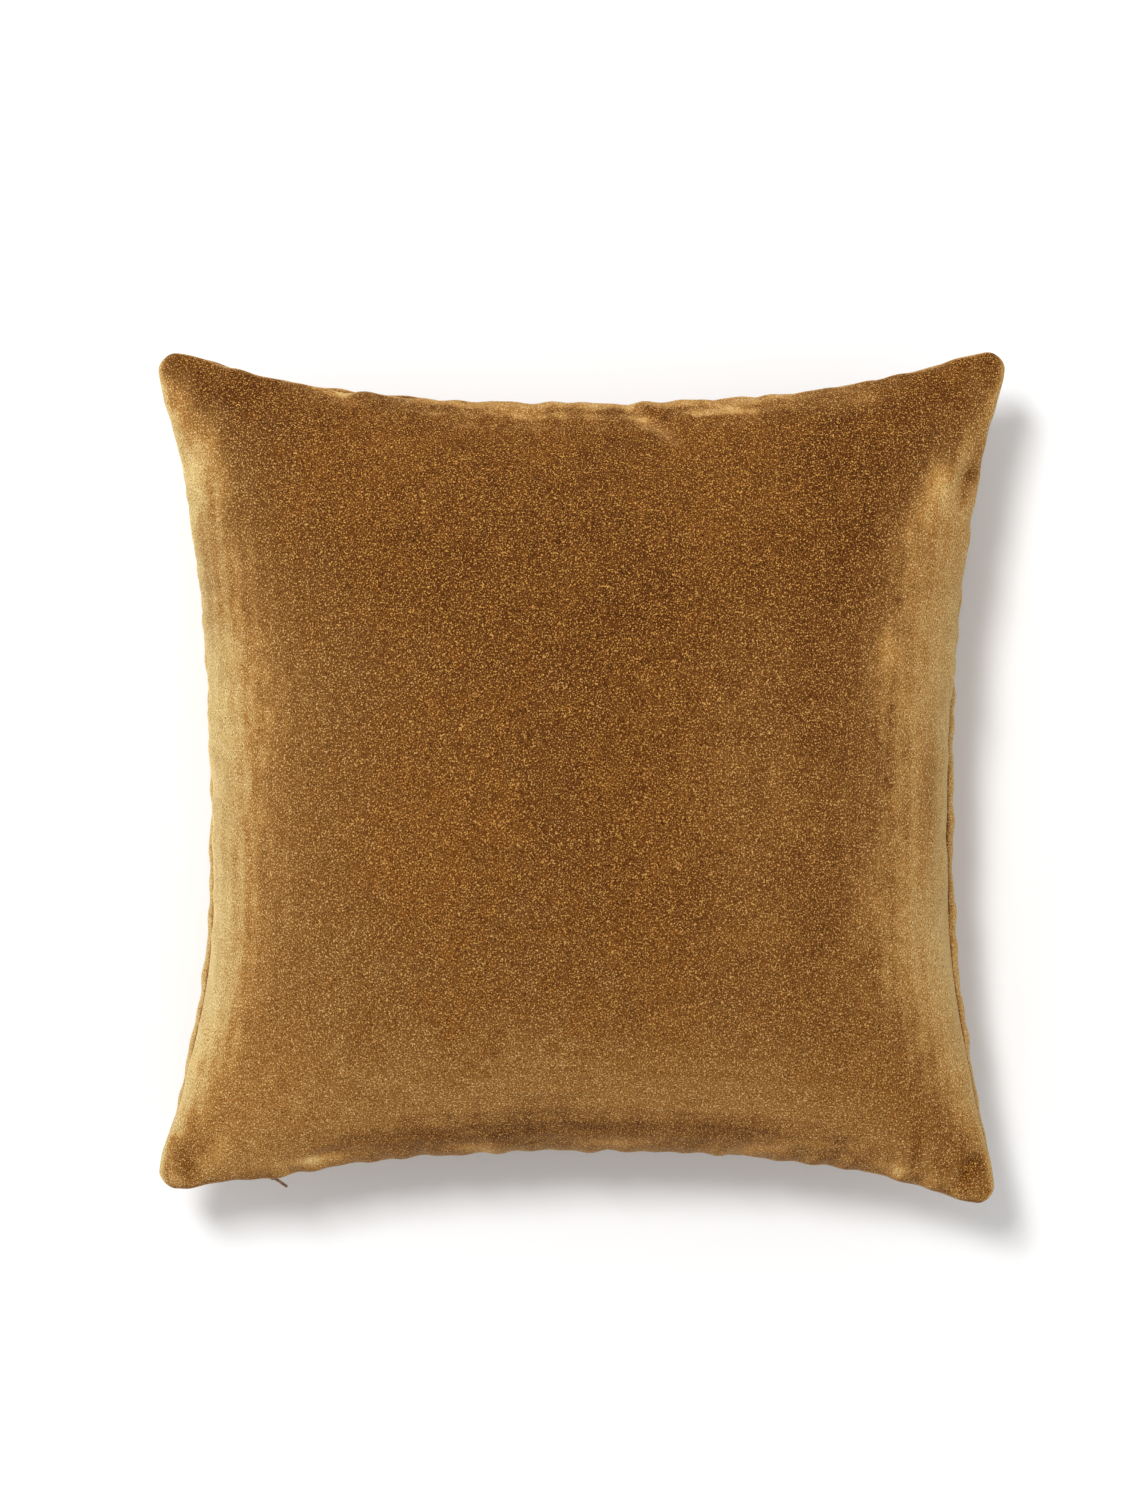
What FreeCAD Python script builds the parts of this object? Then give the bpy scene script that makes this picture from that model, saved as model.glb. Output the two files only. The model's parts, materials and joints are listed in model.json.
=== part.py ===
import FreeCAD, Part
import math
import os

import Sketcher

# Throw pillow: a square velvet cover, filled through an invisible zipper, on a separate insert.
#
# The pillow lies on its back panel. X runs along the zipper side, Y away from it, and Z up through
# the front panel. The origin is on the resting face, under the middle. Lengths are millimetres.
#
# Near the zipper, places are given by two distances: "in" is how far a point lies inside the seam,
# towards the filling, and "up" is how far it lies above the seam plane. The zipper follows an arc,
# so every piece of it turns about one upright axis, which stands outside the pillow.

Vector = FreeCAD.Vector
Rotation = FreeCAD.Rotation

# name, value, meaning
DIMENSIONS = [
    ("tip_reach", 249, "middle to a corner tip, along X or Y"),
    ("tip_round", 8, "radius of a corner tip, seen from above"),
    ("mid_reach", 218.5, "middle to the seam at the middle of a side"),
    ("side_radius", 1000, "radius of the long hollow of each side"),
    ("seam_height", 80, "seam plane above the resting face"),
    ("front_rise", 85, "crown of the front panel above the seam plane"),
    ("back_depth", 86, "crown of the back panel below the seam plane, before it is flattened"),
    ("velvet", 2, "velvet with its pile"),
    ("corner_fill", 4, "extra cloth folded inside each corner"),
    ("allowance_width", 12, "seam allowance, turned inwards"),
    ("seam_half", 0.9, "seam allowance of one panel, and half of the gap between the zipper edges"),
    ("thread_wide", 0.6, "sewing thread"),
    ("thread_in", 2.6, "seam thread inside the seam"),
    ("zip_half", 193.5, "half of the zipper opening, along the seam"),
    ("insert_in", 14, "rim of the insert inside the seam"),
    ("insert_gap", 1, "cover to insert at the crown"),
    ("insert_cloth", 0.6, "cotton of the insert"),
    ("insert_thread_in", 15.2, "seam thread of the insert inside the seam of the cover"),
    ("filling_in", 16.5, "rim of the filling inside the seam"),
    ("filling_gap", 0.4, "insert to filling at the crown"),
    ("label_thick", 0.3, "satin label"),
    ("tape_thick", 0.5, "zipper tape"),
    ("tape_edge_in", 2.5, "fold of the tape"),
    ("tape_bend_in", 3.45, "tape where it starts to lean with the panel"),
    ("tape_bend_up", 4.8, "the same place above the seam plane"),
    ("tape_end_in", 6.2, "free edge of the tape"),
    ("tape_end_up", 10, "free edge of the tape above the seam plane"),
    ("tape_half", 192, "half of the tape, along the seam"),
    ("stitch_in", 6.1, "tape stitching"),
    ("stitch_up", 7.7, "tape stitching above the seam plane"),
    ("stitch_wide", 0.5, "tape stitching"),
    ("stitch_half", 190, "half of the tape stitching, along the seam"),
    ("coil_in", 4.95, "middle of the coil"),
    ("coil_up", 2.05, "middle of the coil above the seam plane"),
    ("coil_radius", 1.15, "wound coil"),
    ("coil_half", 184, "half of the coil, along the seam"),
    ("stop_in", 3.75, "outer face of a stop"),
    ("stop_deep", 2.5, "stop, inwards"),
    ("stop_half_up", 3.3, "half of the height of a stop"),
    ("stop_half", 1.3, "half of a stop, along the seam"),
    ("top_stop_at", 190.2, "top stop from the middle of the side, along the seam"),
    ("bottom_stop_at", 186, "bottom stop from the middle of the side, along the seam"),
    ("slider_at", 184, "closed slider from the middle of the side, along the seam"),
    ("slider_long", 9, "slider body along the zipper"),
    ("slider_half_up", 4.7, "half of the height of the slider body"),
    ("slider_lip_in", 4.4, "lips of the slider body"),
    ("slider_lip_up", 3.7, "inner side of a lip above the seam plane"),
    ("slider_plate_in", 6.7, "near face of the slider's back plate"),
    ("slider_back_in", 7.9, "far face of the slider's back plate"),
    ("slider_edge", 0.5, "rounding of the slider's back edges"),
    ("neck_long", 4.4, "slider neck along the zipper"),
    ("neck_half_up", 0.55, "half of the thickness of the slider neck"),
    ("neck_sink", 0.3, "slider neck into the back plate"),
    ("eye_out", 2.2, "pull hinge outside the seam"),
    ("eye_radius", 1.7, "outside of the slider's eye"),
    ("eye_bore", 0.95, "bore of the slider's eye, a radius"),
    ("eye_half_up", 1.1, "half of the height of the slider's eye"),
    ("pull_long", 10.5, "pull, from its hinge to its end"),
    ("pull_wide", 5, "pull tab at its window"),
    ("pull_end_wide", 4, "pull tab at its end"),
    ("pull_edge", 0.45, "rounding of the pull's end and bar"),
    ("pull_thick", 1.2, "thickness of the pull tab"),
    ("pull_bar", 0.6, "half of the pull's end bar"),
    ("window_long", 3.8, "far side of the pull's window from the hinge"),
    ("window_wide", 2.7, "pull's window"),
    ("pull_turn", -34, "closed pull, from the X axis, in degrees"),
]

GRID = 21           # points along each side of a panel's surface
RIM_SLOPE = 0.97    # how upright a panel stands where it meets the seam, 1 being fully upright
FULLNESS = 0.25     # how broad the crown is, 0 being a plain cosine
SIDE_POWER = 3      # how fast the pulled-in sides fade towards the middle of the panel
THREAD_ROOM = 0.1   # between the seam thread and the groove that it lies in
OVERCUT = 2         # how far a cut runs on past what it cuts
TOUCH = 0.01        # two places this near are the same
NEARLY_UPRIGHT = 0.9

# care label of the cover and label of the insert: rim inside the seam and depth under the cover,
# then the lowest corner and the size of its patch, seen from above
CARE_IN, CARE_GAP = 8, 2.4
CARE_CORNER, CARE_SIZE = (60, -205), (30, 25)
TAG_IN, TAG_GAP = 13, 2.5
TAG_CORNER, TAG_SIZE = (-175, 130), (40, 30)

doc = FreeCAD.newDocument("throw_pillow")
sheet = doc.addObject("Spreadsheet::Sheet", "dims")
for row, (name, value, meaning) in enumerate(DIMENSIONS, 1):
    sheet.set(f"A{row}", meaning)
    sheet.set(f"B{row}", str(value))
    sheet.setAlias(f"B{row}", name)
doc.recompute()


def dim(name):
    """A driving dimension, as a plain number."""
    return float(sheet.get(name))


# ---------------------------------------------------------------- domed cloth and filling

def hollow(distance, radius):
    """How far an arc has come back out, at a distance along the side from its deepest point."""
    return radius - math.sqrt(radius ** 2 - distance ** 2)


def corner_box(inset):
    """An upright box with rounded corners, which rounds the tips of a lens of that inset."""
    reach = dim("tip_reach") - inset
    if inset > 0:
        reach -= dim("corner_fill")
    low = -dim("seam_height")
    box = Part.makeBox(2 * reach, 2 * reach, 4 * dim("seam_height"), Vector(-reach, -reach, low))
    upright = []
    for edge in box.Edges:
        if abs(edge.tangentAt(edge.FirstParameter).z) > NEARLY_UPRIGHT:
            upright.append(edge)
    return box.makeFillet(dim("tip_round"), upright)


def half_lens(inset, gap, side, base=0.0):
    """A closed half pillow, with its rim inside the seam by inset and its crown lowered by gap.

    side is 1 for the front half, above the seam plane, and -1 for the back half. base is how far
    its flat face stands off the seam plane.
    """
    mid = dim("mid_reach") - inset
    radius = dim("side_radius") + inset
    centre = mid + radius
    tip = (centre - math.sqrt(2 * radius ** 2 - centre ** 2)) / 2
    crown = dim("front_rise") if side > 0 else dim("back_depth")
    edge = math.sin(RIM_SLOPE * math.pi / 2)

    turns = [math.pi * (step / (GRID - 1) - 0.5) for step in range(GRID)]
    rows = []
    for turn_x in turns:
        u = math.sin(RIM_SLOPE * turn_x) / edge
        row = []
        for turn_y in turns:
            v = math.sin(RIM_SLOPE * turn_y) / edge
            wave = math.cos(turn_x) * math.cos(turn_y)
            x = tip * u - (tip - mid - hollow(tip * v, radius)) * u ** SIDE_POWER
            y = tip * v - (tip - mid - hollow(tip * u, radius)) * v ** SIDE_POWER
            height = base + (crown - gap - base) * (wave * (1 + FULLNESS) - FULLNESS * wave ** 3)
            row.append(Vector(x, y, dim("seam_height") + side * height))
        rows.append(row)

    surface = Part.BSplineSurface()
    surface.interpolate(rows)
    dome = surface.toShape()
    flat = Part.Face(Part.Wire(Part.__sortEdges__(dome.Edges)))
    shell = Part.makeShell([dome, flat])
    shell.sewShape()
    solid = Part.makeSolid(Part.Shell(shell.Faces))
    if solid.Volume < 0:
        solid.reverse()
    return solid.common(corner_box(inset))


def flat_face(lens):
    """The one plane face of a half lens."""
    for face in lens.Faces:
        if face.Surface.TypeId == "Part::GeomPlane":
            return face
    raise ValueError("no flat face")


def rim_plate(inset, half_height):
    """A flat plate on the seam plane, with the outline of the seam drawn in by inset."""
    plate = flat_face(half_lens(inset, 0, 1)).extrude(Vector(0, 0, 2 * half_height))
    plate.translate(Vector(0, 0, -half_height))
    return plate


def thread_ring(inset, room=0.0):
    """A thread round the whole outline, on the seam plane, or with room the groove that it lies in."""
    half = dim("thread_wide") / 2 + room
    outer = rim_plate(inset - room, half)
    inner = rim_plate(inset + dim("thread_wide") + room, 2 * half)
    return outer.cut(inner)


def above(height):
    """A block wider than the pillow, upwards from a height."""
    reach = 2 * dim("tip_reach")
    return Part.makeBox(2 * reach, 2 * reach, reach, Vector(-reach, -reach, height))


def zip_room():
    """The opening of the zipper: an arc-shaped bar through both seam allowances."""
    radius = dim("side_radius")
    half = dim("seam_half")
    foot = Vector(0, -dim("mid_reach") - radius, dim("seam_height") - half)
    up = Vector(0, 0, 1)
    half_turn = math.degrees(dim("zip_half") / radius)
    far = dim("allowance_width") + OVERCUT
    near = dim("tip_round")
    outer = Part.makeCylinder(radius + far, 2 * half, foot, up, 2 * half_turn)
    inner = Part.makeCylinder(radius - near, 2 * half, foot, up, 2 * half_turn)
    sector = outer.cut(inner)
    sector.rotate(foot, up, 90 - half_turn)
    return sector


def cover_panel(side):
    """One velvet panel, with its seam allowance turned inwards and left open along the zipper."""
    seam_half = dim("seam_half")
    velvet = dim("velvet")
    outer = half_lens(0, 0, side, seam_half)
    room = half_lens(velvet, velvet, side, seam_half)
    allowance = flat_face(outer).extrude(Vector(0, 0, -side * seam_half))
    allowance = allowance.cut(rim_plate(dim("allowance_width"), 2 * seam_half))
    allowance = allowance.cut(thread_ring(dim("thread_in"), THREAD_ROOM))
    allowance = allowance.cut(zip_room())
    if side < 0:
        outer = outer.common(above(0))
        room = room.common(above(velvet))
    return outer.cut(room).fuse(allowance)


def seam_thread():
    """The cover's seam thread, which stops at the two ends of the zipper."""
    return thread_ring(dim("thread_in")).cut(zip_room())


def insert_panel(side):
    """One half of the insert's cotton case."""
    gap = dim("velvet") + dim("insert_gap")
    cloth = dim("insert_cloth")
    outer = half_lens(dim("insert_in"), gap, side)
    inner = half_lens(dim("insert_in") + cloth, gap + cloth, side)
    if side < 0:
        outer = outer.common(above(gap))
        inner = inner.common(above(gap + cloth))
    return outer.cut(inner)


def filling_solid():
    """The filling, as one mass inside the insert, flattened where the pillow rests."""
    gap = dim("velvet") + dim("insert_gap") + dim("insert_cloth") + dim("filling_gap")
    front = half_lens(dim("filling_in"), gap, 1)
    back = front.mirror(Vector(0, 0, dim("seam_height")), Vector(0, 0, 1))
    return front.fuse(back).common(above(gap))


def label_patch(inset, gap, side, corner, size):
    """A label that follows the cloth, inside a rectangle seen from above."""
    thick = dim("label_thick")
    cloth = half_lens(inset, gap, side).cut(half_lens(inset + thick, gap + thick, side))
    low = -dim("seam_height")
    window = Part.makeBox(size[0], size[1], 4 * dim("seam_height"), Vector(corner[0], corner[1], low))
    return cloth.common(window)


def add_shape(name, shape):
    feature = doc.addObject("Part::Feature", name)
    feature.Label = name
    feature.Shape = shape
    feature.Placement = FreeCAD.Placement(Vector(0, 0, 0), Rotation())
    return feature


# ---------------------------------------------------------------- zipper, as PartDesign bodies

def origin_plane(body, role):
    for feature in body.Origin.OriginFeatures:
        if feature.Role == role:
            return feature
    raise ValueError(role)


def new_sketch(body, name, role):
    sketch = body.newObject("Sketcher::SketchObject", name)
    sketch.AttachmentSupport = [(origin_plane(body, role), "")]
    sketch.MapMode = "FlatFace"
    return sketch


def bind(sketch, constraint, expression):
    """Add one dimension to a sketch, and drive it from the sheet."""
    index = sketch.addConstraint(constraint)
    sketch.setExpression(f"Constraints[{index}]", expression)


def number(expression):
    return float(sheet.evalExpression(expression))


def place(across, along):
    return Vector(number(across), number(along), 0)


def polygon(sketch, corners):
    """A closed outline, with each corner's two distances from the sketch's origin as expressions."""
    places = [place(across, along) for across, along in corners]
    first = sketch.GeometryCount
    count = len(corners)
    for index in range(count):
        line = Part.LineSegment(places[index], places[(index + 1) % count])
        sketch.addGeometry(line, False)
    for index in range(count):
        following = first + (index + 1) % count
        sketch.addConstraint(Sketcher.Constraint("Coincident", first + index, 2, following, 1))
    for index, (across, along) in enumerate(corners):
        line = first + index
        bind(sketch, Sketcher.Constraint("DistanceX", -1, 1, line, 1, places[index].x), across)
        bind(sketch, Sketcher.Constraint("DistanceY", -1, 1, line, 1, places[index].y), along)


def rectangle(sketch, left, bottom, right, top):
    polygon(sketch, [(left, bottom), (right, bottom), (right, top), (left, top)])


def circle(sketch, across, along, radius):
    """A circle, with its centre and radius as expressions."""
    centre = place(across, along)
    size = number(radius)
    index = sketch.addGeometry(Part.Circle(centre, Vector(0, 0, 1), size), False)
    bind(sketch, Sketcher.Constraint("DistanceX", -1, 1, index, 3, centre.x), across)
    bind(sketch, Sketcher.Constraint("DistanceY", -1, 1, index, 3, centre.y), along)
    bind(sketch, Sketcher.Constraint("Radius", index, size), radius)


def zip_bar(name, draw, half_length, side=1, middle=0.0):
    """A bar of one section along the zipper arc.

    draw adds the section to a sketch whose X is the distance from the zipper's axis. half_length
    is an expression. side is -1 for the back half. middle is where the middle of the bar lies,
    along the seam, left of the middle of the side.
    """
    body = doc.addObject("PartDesign::Body", name)
    body.Label = name
    sketch = new_sketch(body, f"{name}_section", "XZ_Plane")
    draw(sketch)
    doc.recompute()
    revolution = body.newObject("PartDesign::Revolution", f"{name}_turn")
    revolution.Profile = sketch
    revolution.ReferenceAxis = (sketch, ["V_Axis"])
    revolution.Midplane = True
    revolution.setExpression("Angle", f"({half_length}) / dims.side_radius * 360 / pi")
    doc.recompute()
    about_axis = Rotation(Vector(0, 0, 1), 90 + math.degrees(middle / dim("side_radius")))
    flip = Rotation(Vector(1, 0, 0), 0 if side > 0 else 180)
    body.Placement = FreeCAD.Placement(Vector(0, 0, 0), about_axis.multiply(flip))
    body.setExpression("Placement.Base.y", "-dims.mid_reach - dims.side_radius")
    body.setExpression("Placement.Base.z", "dims.seam_height")
    return body


def at(inward):
    """The distance from the zipper's axis, as an expression."""
    return f"dims.side_radius + {inward}"


def draw_tape(sketch):
    thick = " + dims.tape_thick"
    polygon(sketch, [
        (at("dims.tape_edge_in"), "dims.seam_half"),
        (at("dims.tape_edge_in" + thick), "dims.seam_half"),
        (at("dims.tape_bend_in" + thick), "dims.tape_bend_up"),
        (at("dims.tape_end_in" + thick), "dims.tape_end_up"),
        (at("dims.tape_end_in"), "dims.tape_end_up"),
        (at("dims.tape_bend_in"), "dims.tape_bend_up"),
    ])


def draw_coil(sketch):
    circle(sketch, at("dims.coil_in"), "dims.coil_up", "dims.coil_radius")


def draw_stitch(sketch):
    wide = " + dims.stitch_wide"
    near, low = at("dims.stitch_in"), "dims.stitch_up"
    rectangle(sketch, near, low, near + wide, low + wide)


def draw_stop(sketch):
    far = at("dims.stop_in + dims.stop_deep")
    rectangle(sketch, at("dims.stop_in"), "-dims.stop_half_up", far, "dims.stop_half_up")


def pad(body, sketch, length):
    feature = body.newObject("PartDesign::Pad", f"{sketch.Name}_pad")
    feature.Profile = sketch
    feature.Midplane = True
    feature.setExpression("Length", length)
    doc.recompute()
    return feature


def pocket_through(body, sketch, length):
    """Cut a sketch both ways through the body, and make sure that it cut something."""
    before = body.Shape.Volume
    feature = body.newObject("PartDesign::Pocket", f"{sketch.Name}_pocket")
    feature.Profile = sketch
    feature.Midplane = True
    feature.setExpression("Length", length)
    doc.recompute()
    if body.Shape.Volume >= before:
        raise RuntimeError(f"{sketch.Name} cut nothing")
    return feature


def slider_turn():
    """How far round its axis the closed slider stands, left of the middle of the side."""
    return math.degrees(dim("slider_at") / dim("side_radius"))


def on_arc(outward):
    """The closed slider's place, on the seam plane and outside the seam by outward."""
    turn = math.radians(slider_turn())
    radius = dim("side_radius") - outward
    axis_y = -dim("mid_reach") - dim("side_radius")
    return Vector(-radius * math.sin(turn), axis_y + radius * math.cos(turn), dim("seam_height"))


def build_slider():
    """Slider: a channel behind the coils, a neck between them and an eye outside the seam.

    Its own X runs along the zipper, Y inwards and Z up.
    """
    body = doc.addObject("PartDesign::Body", "zipper_slider")
    body.Label = "zipper_slider"
    channel = new_sketch(body, "slider_channel", "YZ_Plane")
    polygon(channel, [
        ("dims.slider_back_in", "-dims.slider_half_up"),
        ("dims.slider_back_in", "dims.slider_half_up"),
        ("dims.slider_lip_in", "dims.slider_half_up"),
        ("dims.slider_lip_in", "dims.slider_lip_up"),
        ("dims.slider_plate_in", "dims.slider_lip_up"),
        ("dims.slider_plate_in", "-dims.slider_lip_up"),
        ("dims.slider_lip_in", "-dims.slider_lip_up"),
        ("dims.slider_lip_in", "-dims.slider_half_up"),
    ])
    doc.recompute()
    channel_pad = pad(body, channel, "dims.slider_long")
    back_edges = []
    for index, edge in enumerate(channel_pad.Shape.Edges, 1):
        if edge.BoundBox.YMin > dim("slider_back_in") - TOUCH:
            back_edges.append(f"Edge{index}")
    rounding = body.newObject("PartDesign::Fillet", "slider_rounding")
    rounding.Base = (channel_pad, back_edges)
    rounding.setExpression("Radius", "dims.slider_edge")
    doc.recompute()

    neck = new_sketch(body, "slider_neck", "XY_Plane")
    half_neck = "dims.neck_long / 2"
    rectangle(neck, "-" + half_neck, "-dims.eye_out", half_neck, "dims.slider_plate_in + dims.neck_sink")
    doc.recompute()
    pad(body, neck, "2 * dims.neck_half_up")
    eye = new_sketch(body, "slider_eye", "XY_Plane")
    circle(eye, "0", "-dims.eye_out", "dims.eye_radius")
    doc.recompute()
    pad(body, eye, "2 * dims.eye_half_up")
    bore = new_sketch(body, "slider_bore", "XY_Plane")
    circle(bore, "0", "-dims.eye_out", "dims.eye_bore")
    doc.recompute()
    pocket_through(body, bore, "4 * dims.eye_half_up")
    body.Placement = FreeCAD.Placement(on_arc(0), Rotation(Vector(0, 0, 1), slider_turn()))
    return body


def build_pull():
    """Pull: a thin tab with a window, whose end bar hangs in the slider's eye.

    Its own X runs from the hinge to the free end, and Z is the hinge.
    """
    body = doc.addObject("PartDesign::Body", "zipper_pull")
    body.Label = "zipper_pull"
    tab = new_sketch(body, "pull_tab", "XZ_Plane")
    half_end = "dims.pull_end_wide / 2"
    polygon(tab, [
        ("-dims.pull_bar", "-dims.pull_wide / 2"),
        ("dims.window_long", "-dims.pull_wide / 2"),
        ("dims.pull_long", "-" + half_end),
        ("dims.pull_long", half_end),
        ("dims.window_long", "dims.pull_wide / 2"),
        ("-dims.pull_bar", "dims.pull_wide / 2"),
    ])
    doc.recompute()
    tab_pad = pad(body, tab, "dims.pull_thick")
    window = new_sketch(body, "pull_window", "XZ_Plane")
    half_window = "dims.window_wide / 2"
    rectangle(window, "dims.pull_bar", "-" + half_window, "dims.window_long", half_window)
    doc.recompute()
    window_pocket = pocket_through(body, window, "4 * dims.pull_thick")
    rounded = []
    for index, edge in enumerate(window_pocket.Shape.Edges, 1):
        box = edge.BoundBox
        across_tab = box.YLength > dim("pull_thick") / 2
        at_far_end = box.XMin > dim("pull_long") - TOUCH
        on_bar = box.XMax < dim("pull_bar") + TOUCH and box.YLength < TOUCH and box.ZLength > TOUCH
        if (across_tab and at_far_end) or on_bar:
            rounded.append(f"Edge{index}")
    rounding = body.newObject("PartDesign::Fillet", "pull_rounding")
    rounding.Base = (window_pocket, rounded)
    rounding.setExpression("Radius", "dims.pull_edge")
    doc.recompute()
    turn = Rotation(Vector(0, 0, 1), dim("pull_turn"))
    body.Placement = FreeCAD.Placement(on_arc(dim("eye_out")), turn)
    return body


# ---------------------------------------------------------------- the assembly

parts = [
    add_shape("front_panel", cover_panel(1)),
    add_shape("back_panel", cover_panel(-1)),
    add_shape("seam_thread", seam_thread()),
    add_shape("insert_front", insert_panel(1)),
    add_shape("insert_back", insert_panel(-1)),
    add_shape("insert_seam_thread", thread_ring(dim("insert_thread_in"))),
    add_shape("filling", filling_solid()),
    add_shape("care_label", label_patch(CARE_IN, CARE_GAP, -1, CARE_CORNER, CARE_SIZE)),
    add_shape("insert_label", label_patch(TAG_IN, TAG_GAP, 1, TAG_CORNER, TAG_SIZE)),
]
for half, side in (("front", 1), ("back", -1)):
    parts.append(zip_bar(f"zipper_tape_{half}", draw_tape, "dims.tape_half", side))
    parts.append(zip_bar(f"zipper_coil_{half}", draw_coil, "dims.coil_half", side))
    parts.append(zip_bar(f"tape_stitching_{half}", draw_stitch, "dims.stitch_half", side))
parts.append(zip_bar("zipper_top_stop", draw_stop, "dims.stop_half", middle=dim("top_stop_at")))
parts.append(zip_bar("zipper_bottom_stop", draw_stop, "dims.stop_half", middle=-dim("bottom_stop_at")))
parts.append(build_slider())
parts.append(build_pull())

doc.recompute()
for item in doc.Objects:
    if "Invalid" in item.State or "Error" in item.State:
        raise RuntimeError(f"{item.Name}: {item.State}")
for part in parts:
    if part.Shape.isNull() or not part.Shape.isValid():
        raise RuntimeError(f"{part.Label}: bad shape")

os.makedirs("parts", exist_ok=True)
for part in parts:
    part.Shape.exportStep(f"parts/{part.Label}.step")
    print(f"{part.Label:22s} solids {len(part.Shape.Solids)} volume {part.Shape.Volume:12.1f}")
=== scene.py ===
import json
import math

import bpy
import numpy as np
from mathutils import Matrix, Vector
from mathutils.bvhtree import BVHTree


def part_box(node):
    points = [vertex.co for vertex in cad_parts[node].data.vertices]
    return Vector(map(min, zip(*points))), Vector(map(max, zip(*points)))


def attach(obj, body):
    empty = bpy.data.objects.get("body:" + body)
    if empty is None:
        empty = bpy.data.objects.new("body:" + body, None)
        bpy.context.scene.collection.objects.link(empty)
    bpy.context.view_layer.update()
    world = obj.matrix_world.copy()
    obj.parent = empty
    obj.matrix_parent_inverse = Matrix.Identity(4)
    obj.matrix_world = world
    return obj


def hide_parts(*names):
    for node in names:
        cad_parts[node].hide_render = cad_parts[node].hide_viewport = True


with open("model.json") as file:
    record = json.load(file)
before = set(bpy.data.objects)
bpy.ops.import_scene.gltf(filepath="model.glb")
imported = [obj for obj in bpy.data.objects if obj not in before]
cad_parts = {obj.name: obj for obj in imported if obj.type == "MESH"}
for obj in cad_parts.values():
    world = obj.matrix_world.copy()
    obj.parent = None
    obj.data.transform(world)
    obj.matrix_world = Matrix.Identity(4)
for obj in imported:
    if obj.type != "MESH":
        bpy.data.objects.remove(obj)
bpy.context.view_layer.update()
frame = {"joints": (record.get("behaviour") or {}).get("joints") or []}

# Throw pillow. Metres, in the frame of the CAD model: X along the zipper side, Y away from it, and
# Z up through the front panel. The cover is cut from two flat squares, sewn together and blown up
# by a cloth simulation, with its seam held on the seam of the CAD model.


# ================================================================ sizes

def joint(name):
    return next(entry for entry in frame["joints"] if entry["name"] == name)


ZIP_AXIS = Vector(joint("slider_travel")["pos_m"])
SIDE_RADIUS = 1.0                            # long hollow of each side
SIDE_CENTRE = -ZIP_AXIS.y                    # middle of the pillow to the centre of a side's arc
SEAM_Z = ZIP_AXIS.z
CROWN_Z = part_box("front_panel")[1].z
TIP_ROUND = 0.008

CLOTH_SIDE = 0.508                           # each panel, flat, from seam to seam
CLOTH_THICK = 0.0016
SIM_CELLS = 84                               # simulated cells along a side
SIM_FRAMES = 30
ARC_POINTS = 400                             # drawn along the arc of a side, before they are evened out
TIP_POINTS = 40                              # and round half a tip
FINE_CELLS = 214                             # cells along a side of the finished panel
RIM_CROWDING = 0.75                          # how much finer those cells are at the seam

SEAM_GAP = 0.00015                           # rim of a panel off the seam plane
ZIP_GAP = 0.0008                             # the same along the zipper
ZIP_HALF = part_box("zipper_tape_front")[1].x  # half of the zipper's length
ZIP_END = 0.004                              # how far past its end the gap closes again
GAP_FADE = 0.002                             # height over which the cloth turns to the gap's width


# ================================================================ small helpers

def unit(directions):
    return directions / np.linalg.norm(directions, axis=-1, keepdims=True)


def level(directions):
    """Level directions as directions in space."""
    return np.concatenate([directions, np.zeros_like(directions[..., :1])], -1)


def run_lengths(path):
    """How far along a path each of its points is."""
    return np.concatenate([[0], np.cumsum(np.linalg.norm(np.diff(path, axis=0), axis=1))])


def grid_faces(index, upward):
    """Quads of a grid of point numbers."""
    a, b, c, d = index[:-1, :-1], index[1:, :-1], index[1:, 1:], index[:-1, 1:]
    order = (a, b, c, d) if upward else (a, d, c, b)
    return np.stack(order, -1).reshape(-1, 4)


def shared_rim(size):
    """Point numbers of two square grids, size points across, that share their rim."""
    upper = np.arange(size ** 2).reshape(size, size)
    lower = upper.copy()
    lower[1:-1, 1:-1] = size ** 2 + np.arange((size - 2) ** 2).reshape(size - 2, size - 2)
    return upper, lower


def joined(upper, lower):
    """The points of two grids that share their rim, in the order of their numbers."""
    return np.concatenate([upper.reshape(-1, 3), lower[1:-1, 1:-1].reshape(-1, 3)])


def new_object(name, points, faces):
    """A mesh object of points and a list of faces. Its quads are shaded smooth, its end caps flat."""
    mesh = bpy.data.meshes.new(name)
    mesh.from_pydata(points.reshape(-1, 3).tolist(), [], faces)
    mesh.polygons.foreach_set("use_smooth", [len(face) == 4 for face in faces])
    mesh.update()
    piece = bpy.data.objects.new(name, mesh)
    bpy.context.scene.collection.objects.link(piece)
    return piece


# ================================================================ shape of the seam

def rounded_side(count):
    """Evenly spaced points along the zipper side of the seam, from the left tip to the right one."""
    reach = SIDE_RADIUS + TIP_ROUND
    tip = (SIDE_CENTRE - math.sqrt(2 * reach ** 2 - SIDE_CENTRE ** 2)) / 2
    turn = math.atan2(tip, SIDE_CENTRE - tip)
    arc = np.linspace(-turn, turn, ARC_POINTS)
    middle = np.stack([SIDE_RADIUS * np.sin(arc), SIDE_RADIUS * np.cos(arc) - SIDE_CENTRE], 1)
    swing = np.linspace(-math.pi / 2 - turn, -math.pi / 4, TIP_POINTS)
    right = np.stack([tip + TIP_ROUND * np.cos(swing), -tip + TIP_ROUND * np.sin(swing)], 1)
    left = right[::-1] * [-1, 1]
    dense = np.concatenate([left[:-1], middle, right[1:]])
    length = run_lengths(dense)
    places = np.linspace(0, length[-1], count)
    return np.stack([np.interp(places, length, dense[:, axis]) for axis in (0, 1)], 1)


def seam_sides(count):
    """The four sides of the seam: bottom and top run to the right, left and right run upward."""
    bottom = rounded_side(count)
    right = np.stack([-bottom[:, 1], bottom[:, 0]], 1)
    return {"bottom": bottom, "top": bottom * [1, -1], "left": right * [-1, 1], "right": right}


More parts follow.
